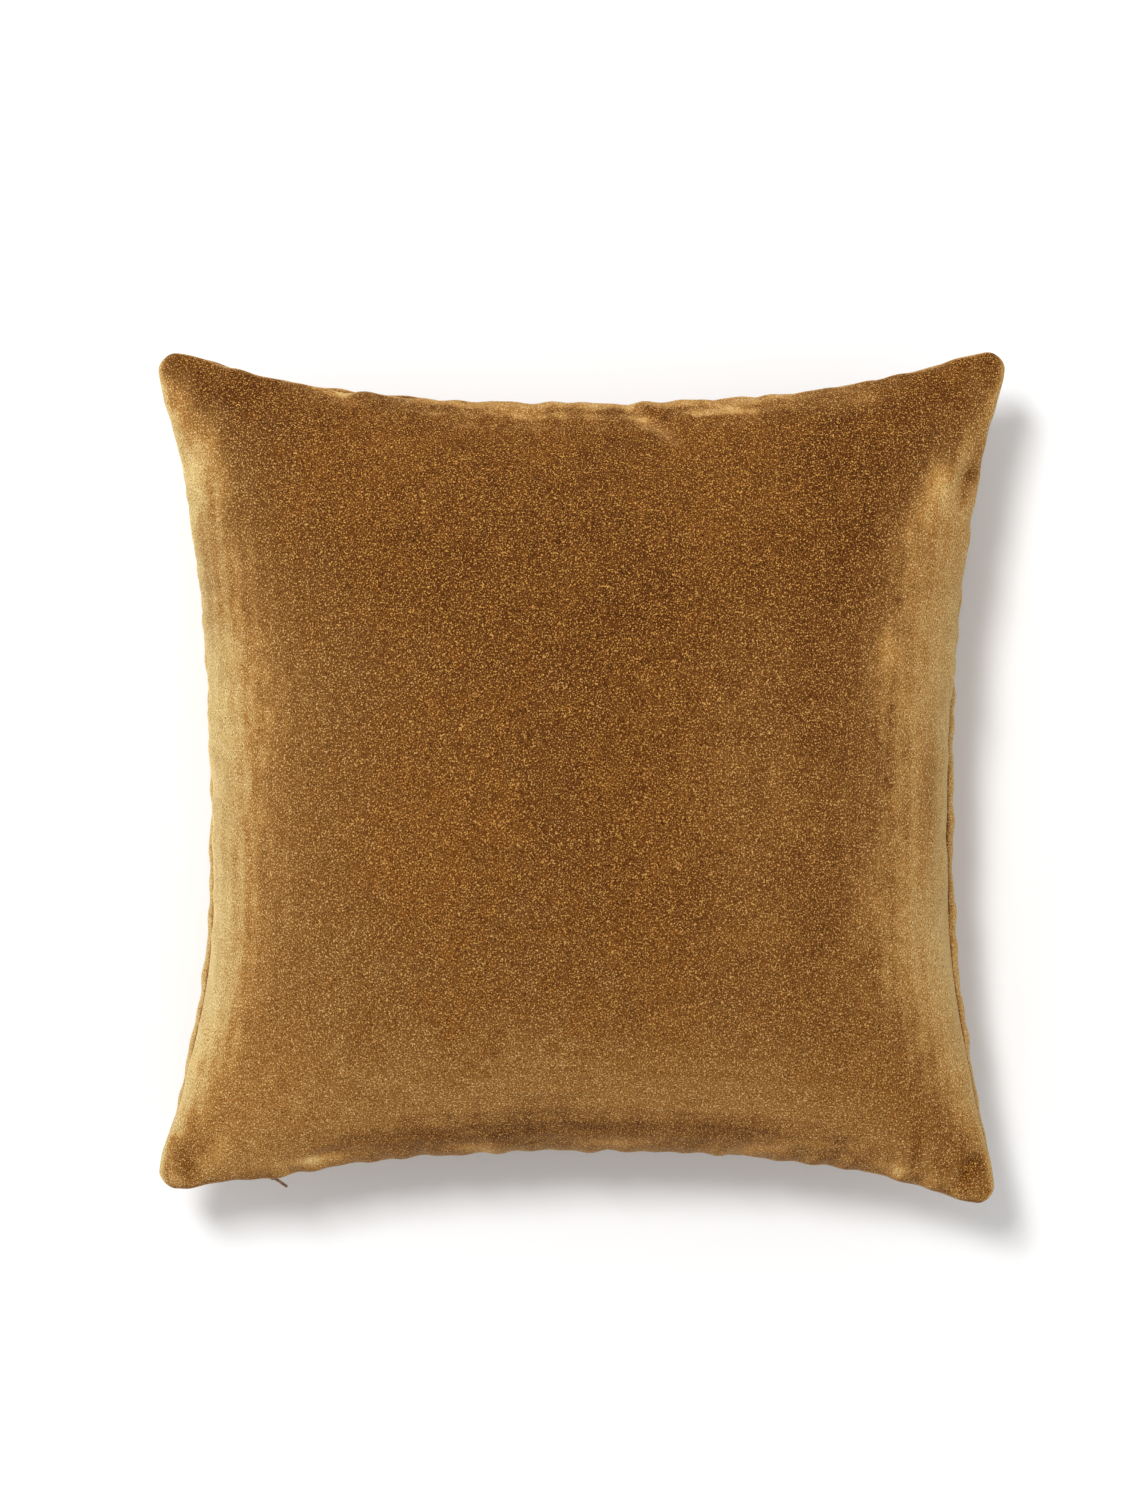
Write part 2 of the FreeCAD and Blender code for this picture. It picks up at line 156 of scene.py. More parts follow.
def coons(u, v, sides):
    """Points inside the four sides, at u and v from -1 to 1."""
    steps = np.linspace(-1, 1, len(sides["bottom"]))

    def on(side, at):
        return np.stack([np.interp(at, steps, sides[side][:, axis]) for axis in (0, 1)], -1)

    a = ((u + 1) / 2)[..., None]
    b = ((v + 1) / 2)[..., None]
    across = (1 - b) * on("bottom", u) + b * on("top", u)
    along = (1 - a) * on("left", v) + a * on("right", v)
    corner = sides["bottom"][-1, 0]
    flat = np.stack([u * corner, v * corner], -1)
    return across + along - flat


# ================================================================ the cloth simulation

DOME_SLOPE = 0.97         # how nearly upright the dome meets the seam
DOME_FULLNESS = 0.25      # how much flatter than a cosine its crown is
DOME_POINTS = 600
CLOTH = {
    "quality": 8,
    "mass": 0.3,
    "air_damping": 4,
    "tension_stiffness": 60,
    "compression_stiffness": 60,
    "shear_stiffness": 20,
    "bending_stiffness": 4,
    "tension_damping": 10,
    "compression_damping": 10,
    "shear_damping": 10,
    "bending_damping": 2,
    "vertex_group_mass": "seam",
    "use_pressure": True,
    "uniform_pressure_force": 6,
}


def dome_height(p, q):
    """Height of a panel over the seam, as a share of its crown, at shares p and q of the way out."""
    edge = math.sin(DOME_SLOPE * math.pi / 2)
    turn_p = np.arcsin(np.clip(p * edge, -1, 1)) / DOME_SLOPE
    turn_q = np.arcsin(np.clip(q * edge, -1, 1)) / DOME_SLOPE
    wave = np.clip(np.cos(turn_p) * np.cos(turn_q), 0, 1)
    return wave * (1 + DOME_FULLNESS) - DOME_FULLNESS * wave ** 3


def spread(u, rise, half_width):
    """Share of the way out, seen from above, of cloth at share u of the way out along the cloth."""
    share = np.linspace(0, 1, DOME_POINTS)
    height = rise * dome_height(share, np.zeros_like(share))
    steps = np.hypot(np.diff(share) * half_width, np.diff(height))
    length = np.concatenate([[0], np.cumsum(steps)])
    return np.sign(u) * np.interp(np.abs(u) * length[-1], length, share)


def start_panel(cells, rise):
    """A panel's grid of points before the simulation, domed like the CAD model."""
    steps = np.linspace(-1, 1, cells + 1)
    u, v = np.meshgrid(steps, steps, indexing="ij")
    half_width = SIDE_CENTRE - SIDE_RADIUS
    p = u + (spread(u, rise, half_width) - u) * (1 - v ** 4)
    q = v + (spread(v, rise, half_width) - v) * (1 - u ** 4)
    ground = coons(p, q, seam_sides(cells + 1))
    height = SEAM_Z + rise * dome_height(p, q)
    return np.concatenate([ground, height[..., None]], -1)


def sewn_cover(front, back):
    """Both panels as one cloth that remembers its flat cut, with the seam as a group of points."""
    upper, lower = shared_rim(SIM_CELLS + 1)
    faces = np.concatenate([grid_faces(upper, True), grid_faces(lower, False)])
    cloth = new_object("sewn_cover", joined(front, back), faces.tolist())

    steps = np.linspace(-1, 1, SIM_CELLS + 1) * CLOTH_SIDE / 2
    flat_x, flat_y = np.meshgrid(steps, steps, indexing="ij")
    flat = np.stack([flat_x, flat_y, np.full_like(flat_x, SEAM_Z)], -1)
    cloth.shape_key_add(name="sewn")
    cut = cloth.shape_key_add(name="cut")
    cut.data.foreach_set("co", joined(flat, flat).astype(np.float32).ravel())

    rim = np.ones_like(upper, bool)
    rim[1:-1, 1:-1] = False
    cloth.vertex_groups.new(name="seam").add(upper[rim].tolist(), 1.0, "REPLACE")
    return cloth, cut


def inflate():
    """The two panels after the simulation, as grids of points."""
    rise = CROWN_Z - SEAM_Z
    front = start_panel(SIM_CELLS, rise)
    back = start_panel(SIM_CELLS, -rise)

    cloth, cut = sewn_cover(front, back)
    modifier = cloth.modifiers.new("inflate", "CLOTH")
    for name, value in CLOTH.items():
        setattr(modifier.settings, name, value)
    modifier.settings.rest_shape_key = cut
    modifier.settings.effector_weights.gravity = 0
    modifier.collision_settings.use_collision = False
    modifier.point_cache.frame_start = 1
    modifier.point_cache.frame_end = SIM_FRAMES
    scene = bpy.context.scene
    for step in range(1, SIM_FRAMES + 1):
        scene.frame_set(step)
    moved = cloth.evaluated_get(bpy.context.evaluated_depsgraph_get()).to_mesh()
    points = np.zeros(len(moved.vertices) * 3, np.float32)
    moved.vertices.foreach_get("co", points)
    points = points.reshape(-1, 3).astype(float)
    scene.frame_set(1)
    bpy.data.objects.remove(cloth)
    return tuple(points[index] for index in shared_rim(SIM_CELLS + 1))


# ================================================================ from the simulation to fine panels

def spline_weights(places, count):
    """A matrix that reads a smooth curve through count points at some places, 0 to count - 1."""
    weights = np.zeros((len(places), count + 2))
    start = np.clip(np.floor(places).astype(int), 0, count - 2)
    part = places - start
    kernels = (
        (-part + 2 * part ** 2 - part ** 3) / 2,
        (2 - 5 * part ** 2 + 3 * part ** 3) / 2,
        (part + 4 * part ** 2 - 3 * part ** 3) / 2,
        (-part ** 2 + part ** 3) / 2,
    )
    rows = np.arange(len(places))
    for step, kernel in enumerate(kernels):
        weights[rows, start + step] += kernel
    inside = weights[:, 1:-1]
    inside[:, 0] += 2 * weights[:, 0]
    inside[:, 1] -= weights[:, 0]
    inside[:, -1] += 2 * weights[:, -1]
    inside[:, -2] -= weights[:, -1]
    return inside


def fine_steps(cells, crowding):
    """Shares of the way out, from -1 to 1, closer together at the seam."""
    even = np.linspace(-1, 1, cells + 1)
    return even + crowding * np.sin(math.pi * even) / math.pi


def resample(grid, steps):
    """A grid of points, read smoothly at other steps along both of its ways."""
    count = grid.shape[0]
    weights = spline_weights((steps + 1) / 2 * (count - 1), count)
    return np.einsum("ia,abk,jb->ijk", weights, grid, weights)


def raised_to_crown(grid):
    """A panel's grid, stretched in height to the crown of the CAD model."""
    crown = np.abs(grid[..., 2] - SEAM_Z).max()
    grid[..., 2] = SEAM_Z + (grid[..., 2] - SEAM_Z) * (CROWN_Z - SEAM_Z) / crown
    return grid


def grid_normals(grid, side):
    """Unit normals of a grid, pointing out of the pillow. side is 1 for the front panel."""
    normal = np.cross(np.gradient(grid, axis=0), np.gradient(grid, axis=1)) * side
    return normal / np.maximum(np.linalg.norm(normal, axis=-1, keepdims=True), 1e-9)


def seam_distance(u, v):
    """How far cloth lies from the seam, with the corners rounded off."""
    half = CLOTH_SIDE / 2
    near_u = np.maximum((1 - np.abs(u)) * half, 1e-6)
    near_v = np.maximum((1 - np.abs(v)) * half, 1e-6)
    return (near_u ** -4 + near_v ** -4) ** -0.25


def near_sides(u, v):
    """How much each of the four sides counts at a point of the cloth."""
    half = CLOTH_SIDE / 2
    near_u = 1 / np.maximum((1 - np.abs(u)) * half, 1e-5) ** 2
    near_v = 1 / np.maximum((1 - np.abs(v)) * half, 1e-5) ** 2
    total = near_u + near_v
    return {
        "left": np.where(u <= 0, near_u / total, 0),
        "right": np.where(u > 0, near_u / total, 0),
        "bottom": np.where(v <= 0, near_v / total, 0),
        "top": np.where(v > 0, near_v / total, 0),
    }


def seam_outward(near, sides):
    """The level direction that points straight out of the nearest seam."""
    turns = {"bottom": 1, "right": 1, "top": -1, "left": -1}
    out = 0
    for side, turn in turns.items():
        along = np.gradient(sides[side], axis=0)
        line = unit(np.stack([along[:, 1], -along[:, 0]], 1) * turn)
        out = out + near[side][..., None] * across_grid(side, line)
    return unit(out)


def across_grid(side, line):
    """Values along one side, carried straight across the whole grid."""
    return line[:, None] if side in ("bottom", "top") else line[None, :]


# how far the cloth rolls out over the seam, in mm, at five places from end to end of each side
FRONT_ROLL = {
    "bottom": (3.6, 2.8, 4.4, 2.2, 3.0),
    "top": (3.5, 1.6, 4.8, 2.0, 3.5),
    "left": (3.0, -0.6, 2.0, 1.4, 3.0),
    "right": (3.0, -0.8, 0.2, 3.2, 3.8),
}
BACK_ROLL = {
    "bottom": (2.5, 2.5, 2.5, 2.5, 2.5),
    "top": (2.5, 2.5, 2.5, 2.5, 2.5),
    "left": (2.5, 4.6, 2.5, 2.0, 2.5),
    "right": (2.5, 5.2, 4.6, 2.5, 2.5),
}
ROLL_PEAK = 0.008     # where it stands out most, along the cloth from the seam
ROLL_BLUR = 21        # cells over which the five values run into each other


def roll_out(table, near, steps):
    """The roll of every point of the cloth, in metres."""
    total = 0
    for side, values in table.items():
        line = np.interp(steps, np.linspace(-1, 1, len(values)), values) / 1000
        padded = np.pad(line, ROLL_BLUR // 2, mode="edge")
        smooth = np.convolve(padded, np.ones(ROLL_BLUR) / ROLL_BLUR, "valid")
        total = total + near[side] * across_grid(side, smooth)
    return total


PUCKER_DEPTH = 0.0014
PUCKER_PEAK = 0.012
PUCKER_WAVES = (5, 8, 13, 19, 27)      # half waves from end to end of a side
PUCKER_EVEN = 2.2                      # brings their sum back to about one
PUCKER_SEED = 11


def puckers(near, steps, distance, seed):
    """Small waves across the seam, where the stitches draw the cloth together."""
    draw = np.random.default_rng(seed)
    total = 0
    for side in ("bottom", "top", "left", "right"):
        line = 0
        for waves in PUCKER_WAVES:
            share = draw.uniform(0.4, 1.0)
            line = line + share * np.sin(math.pi * waves * steps + draw.uniform(0, 2 * math.pi))
        total = total + near[side] * across_grid(side, line / PUCKER_EVEN)
    reach = distance / PUCKER_PEAK
    return PUCKER_DEPTH * total * reach * np.exp(1 - reach)


CREASE_SHOULDER = 1.2     # how much the cloth beside a crease stands up

# place, direction in degrees, half of the length, half of the width, depth
CREASES = [
    (0.043, 0.209, -38, 0.020, 0.007, 0.0030),
    (0.081, 0.220, 10, 0.012, 0.006, 0.0020),
    (-0.140, 0.231, 15, 0.010, 0.006, 0.0015),
    (0.228, 0.177, 70, 0.015, 0.008, 0.0022),
    (0.197, -0.226, 86, 0.016, 0.004, 0.0015),
    (0.215, -0.043, 80, 0.014, 0.006, 0.0015),
    (-0.151, -0.224, 20, 0.012, 0.006, 0.0020),
    (0.229, -0.229, 52, 0.010, 0.006, 0.0013),
    (-0.230, -0.226, 130, 0.008, 0.006, 0.0004),
]


def along_across(grid, x, y, angle, length, width):
    """Places on a grid, along and across a patch, in units of its half length and half width."""
    turn = math.radians(angle)
    dx = grid[..., 0] - x
    dy = grid[..., 1] - y
    along = (dx * math.cos(turn) + dy * math.sin(turn)) / length
    across = (dy * math.cos(turn) - dx * math.sin(turn)) / width
    return along, across


def crease_depth(grid):
    """How far the creases press the front panel in, with a low shoulder along each side."""
    depth = np.zeros(grid.shape[:2])
    for *place, deep in CREASES:
        along, across = along_across(grid, *place)
        depth += deep * (1 - CREASE_SHOULDER * across ** 2) * np.exp(-across ** 2 - along ** 2)
    return depth


# painted highlights and painted shade on the front, laid over its creases, rims and upper middle,
# paler or, below nought, darker: place, direction in degrees, half of the length, half of the width,
# amount
PAINTED_LIGHT_PATCHES = [
    (0.042, 0.208, -40, 0.019, 0.0032, 0.24),
    (0.052, 0.214, -40, 0.015, 0.0040, -0.12),
    (0.090, 0.217, -22, 0.011, 0.0028, 0.16),
    (0.078, 0.225, -14, 0.012, 0.0030, -0.22),
    (0.121, 0.222, 5, 0.014, 0.007, 0.12),
    (0.162, 0.222, 8, 0.018, 0.007, 0.16),
    (-0.143, 0.228, -32, 0.012, 0.0032, 0.16),
    (-0.152, 0.232, -20, 0.014, 0.005, 0.06),
    (-0.236, 0.222, 90, 0.011, 0.007, 0.22),
    (-0.225, 0.190, 80, 0.028, 0.010, 0.14),
    (-0.205, 0.228, 10, 0.022, 0.008, -0.12),
    (-0.222, 0.110, 82, 0.050, 0.014, -0.16),
    (0.229, 0.177, 60, 0.010, 0.006, -0.20),
    (0.238, 0.196, 80, 0.014, 0.005, -0.14),
    (0.211, 0.172, 75, 0.014, 0.009, 0.32),
    (0.197, 0.150, 70, 0.024, 0.010, 0.16),
    (0.204, -0.010, 88, 0.040, 0.006, -0.20),
    (0.176, 0.070, 80, 0.030, 0.010, 0.16),
    (0.170, -0.060, 85, 0.028, 0.012, 0.11),
    (0.213, -0.105, 80, 0.030, 0.009, 0.03),
    (0.229, -0.228, 52, 0.011, 0.0040, -0.16),
    (0.197, -0.224, 88, 0.018, 0.0032, -0.18),
    (0.186, -0.232, -14, 0.012, 0.004, 0.26),
    (-0.196, -0.190, 40, 0.060, 0.035, 0.12),
    (-0.231, -0.228, 120, 0.007, 0.005, -0.06),
    (-0.214, -0.221, 62, 0.012, 0.005, 0.16),
    (-0.228, -0.170, 66, 0.026, 0.006, 0.08),
    (-0.100, -0.212, 2, 0.060, 0.006, -0.14),
    (0.050, -0.206, 0, 0.080, 0.006, -0.12),
    (-0.158, -0.2265, 8, 0.016, 0.0035, 0.30),
    (-0.062, -0.2185, -6, 0.018, 0.0040, 0.28),
    (0.020, -0.2155, 0, 0.024, 0.0035, 0.22),
    (0.110, -0.2190, 6, 0.026, 0.0035, 0.22),
    (0.000, -0.110, 0, 0.220, 0.070, 0.02),
    (0.095, -0.010, 90, 0.120, 0.030, 0.07),
    (0.000, 0.150, 0, 0.190, 0.060, -0.10),
]


def store_painted_patches(panel, grid):
    """Keep on a panel's points its painted highlights and painted shade."""
    amount = np.zeros(grid.shape[:2])
    for *place, pale in PAINTED_LIGHT_PATCHES:
        along, across = along_across(grid, *place)
        amount += pale * np.exp(-across ** 2 - along ** 2)
    values = np.concatenate([amount.ravel(), amount.ravel()])
    panel.data.attributes.new("painted_patch_light", "FLOAT", "POINT").data.foreach_set("value", values)


# where a real cushion leaves the even outline: place, reach of the shift, and how far it moves
SHIFTS = [
    (-0.250, 0.250, 0.060, -0.0018, 0.0030),
    (0.250, 0.250, 0.060, 0.0034, 0.0036),
    (0.250, -0.250, 0.060, -0.0026, -0.0046),
    (-0.250, -0.250, 0.060, -0.0016, 0.0044),
    (-0.225, -0.105, 0.070, 0.0046, 0.0000),
    (-0.182, -0.237, 0.026, 0.0000, -0.0022),
    (0.225, -0.115, 0.070, -0.0038, 0.0000),
]


def ears(sx, sy):
    """The seam allowance, folded into each corner, makes the tip wide and blunt."""
    return [
        (sx * 0.227, sy * 0.246, 0.020, 0.0, sy * 0.0022),
        (sx * 0.246, sy * 0.227, 0.020, sx * 0.0022, 0.0),
        (sx * 0.251, sy * 0.251, 0.011, -sx * 0.0016, -sy * 0.0016),
    ]


for corner in ((-1, -1), (1, -1), (1, 1), (-1, 1)):
    SHIFTS += ears(*corner)


def shifted(points):
    """No side or corner of a real cushion is quite like another."""
    moved = points.copy()
    for x, y, reach, dx, dy in SHIFTS:
        away = ((points[..., 0] - x) ** 2 + (points[..., 1] - y) ** 2) / reach ** 2
        moved[..., 0] += dx * np.exp(-away)
        moved[..., 1] += dy * np.exp(-away)
    return moved


SAG = 0.0030          # how far the lower half spreads, under the pillow's weight
SAG_REACH = 0.08      # along the cloth from the seam, where that dies away
FLOOR_EASE = 0.010    # height over which the underside comes down to lie flat


def lie_flat(height):
    """The underside pressed flat on the floor: no height is under 0, and the turn is soft."""
    eased = (height + FLOOR_EASE) / (2 * FLOOR_EASE)
    curve = FLOOR_EASE * np.clip(eased, 0, 1) ** 2
    return np.where(height > FLOOR_EASE, height, curve)


def settled(grid, outward, distance):
    """The back panel, spread under the pillow's weight and flat on the floor."""
    low = np.clip((SEAM_Z - grid[..., 2]) / SEAM_Z, 0, 1)
    sag = SAG * np.sin(math.pi * low) * np.exp(-distance / SAG_REACH)
    grid[..., :2] += outward * sag[..., None]
    grid[..., 2] = lie_flat(grid[..., 2])


def seam_gap(grid, u, v):
    """How far off the seam plane the cloth starts. The zipper holds it further apart."""
    along = np.abs(grid[..., 0])
    zip_side = (v < 0) & (np.abs(u) < -v)
    ends = np.clip((ZIP_HALF + ZIP_END - along) / (2 * ZIP_END), 0, 1)
    return SEAM_GAP + (ZIP_GAP - SEAM_GAP) * np.where(zip_side, ends, 0)


def kept_apart(layer, gap, side):
    """A face of a panel, kept on its own side of the seam plane and above the floor."""
    lift = np.maximum(side * (layer[..., 2] - SEAM_Z), 0)
    layer[..., 2] = SEAM_Z + side * lift + side * gap * np.exp(-lift / GAP_FADE)
    if side < 0:
        layer[..., 2] = np.maximum(layer[..., 2], 0)


def cloth_layers(sim, side):
    """The outer and the inner face of one panel, as grids of points. side is 1 for the front."""
    steps = fine_steps(FINE_CELLS, RIM_CROWDING)
    u, v = np.meshgrid(steps, steps, indexing="ij")
    smooth = raised_to_crown(resample(sim, steps))
    reading = spline_weights((steps + 1) / 2 * SIM_CELLS, SIM_CELLS + 1)
    sides = {name: reading @ line for name, line in seam_sides(SIM_CELLS + 1).items()}
    distance = seam_distance(u, v)
    near = near_sides(u, v)
    outward = seam_outward(near, sides)
    if side < 0:
        settled(smooth, outward, distance)

    normal = grid_normals(smooth, side)
    inner = smooth - normal * CLOTH_THICK
    table = FRONT_ROLL if side > 0 else BACK_ROLL
    roll = roll_out(table, near, steps) * distance / ROLL_PEAK * np.exp(1 - distance / ROLL_PEAK)
    ripple = puckers(near, steps, distance, PUCKER_SEED + side)
    smooth = smooth + normal * ripple[..., None]
    inner = inner + normal * ripple[..., None]
    outer = smooth.copy()
    outer[..., :2] += outward * roll[..., None]
    if side > 0:
        outer -= normal * crease_depth(outer)[..., None]
        inner -= normal * crease_depth(inner)[..., None]

    gap = seam_gap(smooth, u, v)
    for layer in (outer, inner):
        kept_apart(layer, gap, side)
    for edge in (np.s_[0], np.s_[-1], np.s_[:, 0], np.s_[:, -1]):
        inner[edge] = outer[edge] - level(outward[edge]) * CLOTH_THICK
    return shifted(outer), shifted(inner)


def closed_cloth(name, outer, inner, side):
    """A panel with both of its faces, closed along the seam."""
    count = outer.shape[0] * outer.shape[1]
    outside = np.arange(count).reshape(outer.shape[:2])
    inside = outside + count
    ring = np.concatenate([outside[:-1, 0], outside[-1, :-1], outside[:0:-1, -1], outside[0, :0:-1]])
    following = np.roll(ring, -1)
    rim = np.stack([ring, ring + count, following + count, following], 1)
    if side < 0:
        rim = rim[:, ::-1]
    faces = np.concatenate([grid_faces(outside, side > 0), grid_faces(inside, side < 0), rim])
    return new_object(name, np.concatenate([outer.reshape(-1, 3), inner.reshape(-1, 3)]), faces.tolist())


# ================================================================ materials

class Nodes:
    """A material under construction."""

    def __init__(self, name):
        self.material = bpy.data.materials.new(name)
        self.material.use_nodes = True
        self.tree = self.material.node_tree
        self.shader = self.tree.nodes["Principled BSDF"]
        coordinates = self.tree.nodes.new("ShaderNodeTexCoord")
        self.place = coordinates.outputs["Object"]
        self.facing = coordinates.outputs["Normal"]

    def set(self, **values):
        """Fixed values on the shader's own sockets, with underscores for spaces."""
        for name, value in values.items():
            self.shader.inputs[name.replace("_", " ")].default_value = value

    def link(self, source, target):
        self.tree.links.new(source, target)

    def into(self, name, source):
        """A node's output into one of the shader's sockets."""
        self.link(source, self.shader.inputs[name])

    def plug(self, socket, value):
        """A number, a colour or a node's output into a socket."""
        if isinstance(value, tuple):
            socket.default_value = (*value, 1)
        elif isinstance(value, (int, float)):
            socket.default_value = value
        else:
            self.link(value, socket)

    def scaled(self, x, y, z):
        """The place, stretched along each axis."""
        node = self.tree.nodes.new("ShaderNodeMapping")
        node.inputs["Scale"].default_value = (x, y, z)
        self.link(self.place, node.inputs["Vector"])
        return node.outputs["Vector"]

    def noise(self, place, scale, detail=2.0, rough=0.5):
        node = self.tree.nodes.new("ShaderNodeTexNoise")
        node.inputs["Scale"].default_value = scale
        node.inputs["Detail"].default_value = detail
        node.inputs["Roughness"].default_value = rough
        self.link(place, node.inputs["Vector"])
        return node.outputs["Fac"]

    def math(self, kind, a, b):
        node = self.tree.nodes.new("ShaderNodeMath")
        node.operation = kind
        self.plug(node.inputs[0], a)
        self.plug(node.inputs[1], b)
        return node.outputs["Value"]

    def total(self, *parts):
        """Values, each times its share, added up."""
        products = [self.math("MULTIPLY", value, share) for value, share in parts]
        total = products[0]
        for product in products[1:]:
            total = self.math("ADD", total, product)
        return total

    def roughness(self, value, share, low):
        """Roughness from low up, by a share of value."""
        self.into("Roughness", self.math("ADD", self.math("MULTIPLY", value, share), low))

    def between(self, value, low, high):
        """value, from low to high, as 0 to 1."""
        node = self.tree.nodes.new("ShaderNodeMapRange")
        node.interpolation_type = "SMOOTHSTEP"
        node.inputs["From Min"].default_value = low
        node.inputs["From Max"].default_value = high
        self.link(value, node.inputs["Value"])
        return node.outputs["Result"]

    def colours(self, factor, first, second, blend="MIX"):
        """Two colours, mixed or multiplied, by a factor."""
        node = self.tree.nodes.new("ShaderNodeMix")
        node.data_type = "RGBA"
        node.blend_type = blend
        for number, value in ((0, factor), (6, first), (7, second)):
            self.plug(node.inputs[number], value)
        return node.outputs[2]

    def shade(self, factor, colour, dark):
        """The base colour, from colour times dark to colour."""
        self.into("Base Color", self.colours(factor, tuple(dark * part for part in colour), colour))

    def ramp(self, value, stops):
        """value, from -1 to 1, turned into another number by a few stops."""
        node = self.tree.nodes.new("ShaderNodeValToRGB")
        stop = node.color_ramp.elements
        while len(stop) < len(stops):
            stop.new(1.0)
        for element, (at, level) in zip(stop, stops):
            element.position = (at + 1) / 2
            element.color = (level, level, level, 1)
        self.link(self.math("MULTIPLY", self.math("ADD", value, 1.0), 0.5), node.inputs["Fac"])
        return node.outputs["Color"]

    def attribute(self, name):
        """A number kept on the mesh's points, or 0 on a mesh without it."""
        node = self.tree.nodes.new("ShaderNodeAttribute")
        node.attribute_name = name
        return node.outputs["Fac"]

    def leaning(self, lean):
        """The way the surface faces, leaned over, for pile that lies to one side."""
        add = self.tree.nodes.new("ShaderNodeVectorMath")
        add.operation = "ADD"
        add.inputs[1].default_value = lean
        self.link(self.facing, add.inputs[0])
        turn = self.tree.nodes.new("ShaderNodeVectorTransform")
        turn.vector_type = "NORMAL"
        turn.convert_from = "OBJECT"
        turn.convert_to = "WORLD"
        self.link(add.outputs["Vector"], turn.inputs["Vector"])
        return turn.outputs["Vector"]

    def bump(self, height, distance, strength=1.0, normal=None):
        """Fine relief on the surface, distance deep in metres."""
        node = self.tree.nodes.new("ShaderNodeBump")
        node.inputs["Distance"].default_value = distance
        node.inputs["Strength"].default_value = strength
        self.link(height, node.inputs["Height"])
        if normal is not None:
            self.link(normal, node.inputs["Normal"])
        self.into("Normal", node.outputs["Normal"])


PILE_DARK = (0.102, 0.0292, 0.0034)
PILE_LIGHT = (0.230, 0.0800, 0.0112)
PILE_FLECK = (0.62, 0.320, 0.075)
PILE_SPECK = (0.030, 0.0080, 0.0010)
# colours of the painted sheen, and of the flecks and specks within it
PAINTED_SHEEN_WARM = (0.410, 0.190, 0.042)
PAINTED_SHEEN_PALE = (0.690, 0.490, 0.190)
PAINTED_SHEEN_FLECK = (0.950, 0.800, 0.450)
PAINTED_SHEEN_SPECK = (0.300, 0.160, 0.040)
PAINTED_TOP_SHADE = (0.76, 0.72, 0.70)         # painted shade: what is left of the colour on the side that faces the light, where the pile points at it
NAP_LEAN = (-0.12, -0.30, 0.0)        # how the pile leans, added to the way the surface faces
SHEEN_GOLD = (1.0, 0.76, 0.42, 1)
PAINTED_PATCH_GAIN = 0.7                    # how much brighter the painted highlights make the colour, and how much darker the painted shade
PILE_RELIEF = 0.0006

# from which value to which each colour takes over
LIGHT_FROM_TO = (1.25, 2.05)
TOP_SHADE_FROM_TO = (-0.20, 0.25)
WARM_SHEEN_FROM_TO = (0.0, 0.55)
PALE_SHEEN_FROM_TO = (0.40, 1.0)
FLECK_FROM_TO = (0.54, 0.72)
SPECK_FROM_TO = (0.46, 0.29)

# patterns in the pile: stretch along each axis, scale, detail and roughness
PILE = {
    "clouds": ((1, 0.8, 1), 9, 3, 0.55),
    "blotches": ((1, 0.8, 1), 75, 4, 0.6),
    "streaks": ((1, 0.22, 1), 520, 3, 0.6),
    "bands": ((0.12, 1, 1), 330, 2, 0.5),
    "grain": ((1, 0.75, 1), 950, 3, 0.7),
    "flecks": ((1, 0.85, 1), 1300, 1, 0.5),
}
PILE_SHADE = {"clouds": 0.9, "blotches": 0.75, "streaks": 0.55, "bands": 0.20, "grain": 0.9}
PILE_UNREST = {"clouds": 0.36, "blotches": 0.36, "streaks": 0.10}    # how unevenly the painted sheen and the painted top shade spread

# how much painted sheen shows where the cloth turns toward the seam, by the way the cloth faces, along X
# and along Y
PAINTED_SHEEN_X = (
    (-1.0, 1.0), (-0.92, 0.95), (-0.79, 0.74), (-0.69, 0.64), (-0.53, 0.30), (-0.40, 0.18), (0.0, 0.0),
    (0.30, 0.10), (0.42, 0.16), (0.55, 0.36), (0.69, 0.56), (0.88, 0.66), (1.0, 0.74),
)
PAINTED_SHEEN_Y = (
    (-1.0, 0.22), (-0.93, 0.10), (-0.85, 0.04), (-0.76, 0.10), (-0.66, 0.20), (-0.54, 0.28), (-0.41, 0.20),
    (-0.24, 0.05), (-0.10, 0.0), (0.72, 0.0), (0.86, 0.14), (0.94, 0.46), (1.0, 0.58),
)


def painted_sheen_share(m, toward_x, toward_y, painted_patch_light):
    """How much painted sheen shows, from 0 to 1, with the painted highlights and shade of the patches
    added.
    """
    sheen_paint = m.math("ADD", m.ramp(toward_x, PAINTED_SHEEN_X), m.ramp(toward_y, PAINTED_SHEEN_Y))
    return m.math("MAXIMUM", m.math("MINIMUM", m.math("ADD", sheen_paint, painted_patch_light), 1.0), 0.0)


